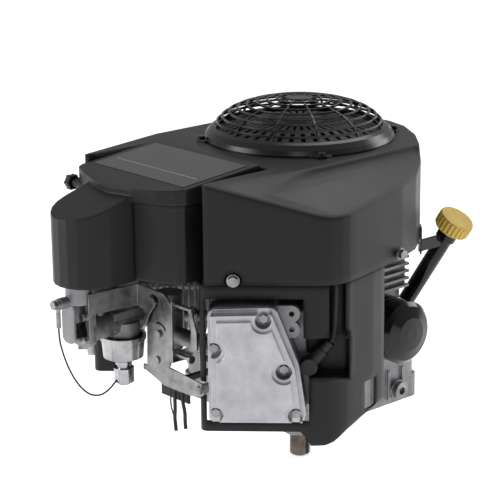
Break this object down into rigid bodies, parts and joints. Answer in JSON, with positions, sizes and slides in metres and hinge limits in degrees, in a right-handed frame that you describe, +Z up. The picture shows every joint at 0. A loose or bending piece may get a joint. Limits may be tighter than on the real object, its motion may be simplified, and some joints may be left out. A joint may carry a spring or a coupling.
{
  "type": "small gasoline engine",
  "caption": "Air-cooled V-twin petrol engine with a vertical crankshaft, black fan housing and air cleaner, alloy rocker covers, side oil filter and filler tube.",
  "frame": {"origin": "crankshaft axis at the engine's mounting face", "axes": "+Z up along the crankshaft away from the output end; -Y along the bisector of the V, the carburettor side; +X towards cylinder 1 and the oil filter"},
  "size_m": [0.4242, 0.4898, 0.4526],
  "materials": {
    "casting": "satin",
    "cover_alloy": "satin",
    "black_plastic": "satin",
    "zinc": "satin",
    "steel": "satin",
    "dark_steel": "satin",
    "iron": "matte",
    "rubber": "matte",
    "gloss_black": "gloss",
    "yellow_plastic": "satin",
    "label": "satin",
    "paper": "matte",
    "copper": "satin",
    "ceramic": "gloss"
  },
  "bodies": {
    "engine": {"sump": "casting", "crankcase": "casting", "cylinder_1": "casting", "cylinder_2": "casting", "cylinder_head_1": "casting", "cylinder_head_2": "casting", "rocker_cover_1": "cover_alloy", "rocker_cover_2": "cover_alloy", "rocker_cover_bolts": "zinc", "spark_plugs": "ceramic", "spark_plug_caps": "rubber", "ignition_leads": "rubber", "ignition_coils": "black_plastic", "stator": "copper", "blower_housing": "black_plastic", "blower_bolts": "zinc", "fan_guard": "black_plastic", "guard_screws": "black_plastic", "shroud_1": "black_plastic", "shroud_2": "black_plastic", "air_cleaner_base": "black_plastic", "intake_elbow": "casting", "elbow_bolts": "zinc", "carburetor_body": "casting", "float_bowl": "cover_alloy", "fuel_solenoid": "cover_alloy", "intake_manifold": "casting", "control_bracket": "zinc", "bracket_bolts": "zinc", "oil_filter": "gloss_black", "oil_filler_tube": "gloss_black", "drain_plug": "zinc", "starter_motor": "gloss_black", "voltage_regulator": "casting", "oil_seals": "rubber", "harness_leads": "rubber", "wire_terminal": "zinc", "ground_wire": "rubber", "air_filter_element": "paper"},
    "crank": {"crankshaft": "steel", "crank_gear": "dark_steel", "flywheel": "iron", "ring_gear": "dark_steel", "cooling_fan": "black_plastic", "rotating_screen": "black_plastic"},
    "cam": {"camshaft": "steel", "cam_gear": "dark_steel"},
    "piston_one": {"piston_1": "cover_alloy", "wrist_pin_1": "steel"},
    "piston_two": {"piston_2": "cover_alloy", "wrist_pin_2": "steel"},
    "throttle_valve": {"throttle_shaft": "zinc"},
    "choke_valve": {"choke_shaft": "zinc"},
    "throttle_control": {"throttle_lever": "zinc"},
    "choke_control": {"choke_lever": "zinc"},
    "filler_cap": {"oil_cap": "yellow_plastic", "dipstick": "zinc"},
    "cleaner_cover": {"air_cleaner_cover": "black_plastic", "cover_label": "label"},
    "knob": {"cover_knob": "black_plastic"}
  },
  "joints": [
    {"name": "crank_spin", "type": "hinge", "parent": "engine", "child": "crank", "pos_m": [0, 0, 0], "axis": [0, 0, 1], "continuous": true},
    {"name": "cam_spin", "type": "hinge", "parent": "engine", "child": "cam", "pos_m": [0, -0.081, 0], "axis": [0, 0, 1], "continuous": true},
    {"name": "piston_slide_one", "type": "slide", "parent": "engine", "child": "piston_one", "axis": [0.7071, -0.7071, 0], "range_m": [-0.0618, 0.0142]},
    {"name": "piston_slide_two", "type": "slide", "parent": "engine", "child": "piston_two", "axis": [-0.7071, -0.7071, 0], "range_m": [-0.0618, 0.0142]},
    {"name": "throttle_turn", "type": "hinge", "parent": "engine", "child": "throttle_valve", "pos_m": [-0.02, -0.24, 0.16], "axis": [0, 0, 1], "range_deg": [0, 75]},
    {"name": "choke_turn", "type": "hinge", "parent": "engine", "child": "choke_valve", "pos_m": [-0.02, -0.292, 0.16], "axis": [0, 0, 1], "range_deg": [0, 75]},
    {"name": "throttle_control_turn", "type": "hinge", "parent": "engine", "child": "throttle_control", "pos_m": [0.03, -0.24, 0.112], "axis": [0, 1, 0], "range_deg": [-12, 0]},
    {"name": "choke_control_turn", "type": "hinge", "parent": "engine", "child": "choke_control", "pos_m": [0.025, -0.25, 0.179], "axis": [0, 1, 0], "range_deg": [-12, 12]},
    {"name": "cap_pull", "type": "slide", "parent": "engine", "child": "filler_cap", "axis": [0.4934, 0.1351, 0.8593], "range_m": [0, 0.16]},
    {"name": "cover_lift", "type": "slide", "parent": "engine", "child": "cleaner_cover", "axis": [0, 0, 1], "range_m": [0, 0.12]},
    {"name": "knob_turn", "type": "hinge", "parent": "engine", "child": "knob", "pos_m": [-0.1, -0.262, 0.297], "axis": [1, 0, 0], "range_deg": [0, 90]}
  ],
  "couplings": [
    {"joint": "cam_spin", "follows": "crank_spin", "ratio": -0.5}
  ]
}
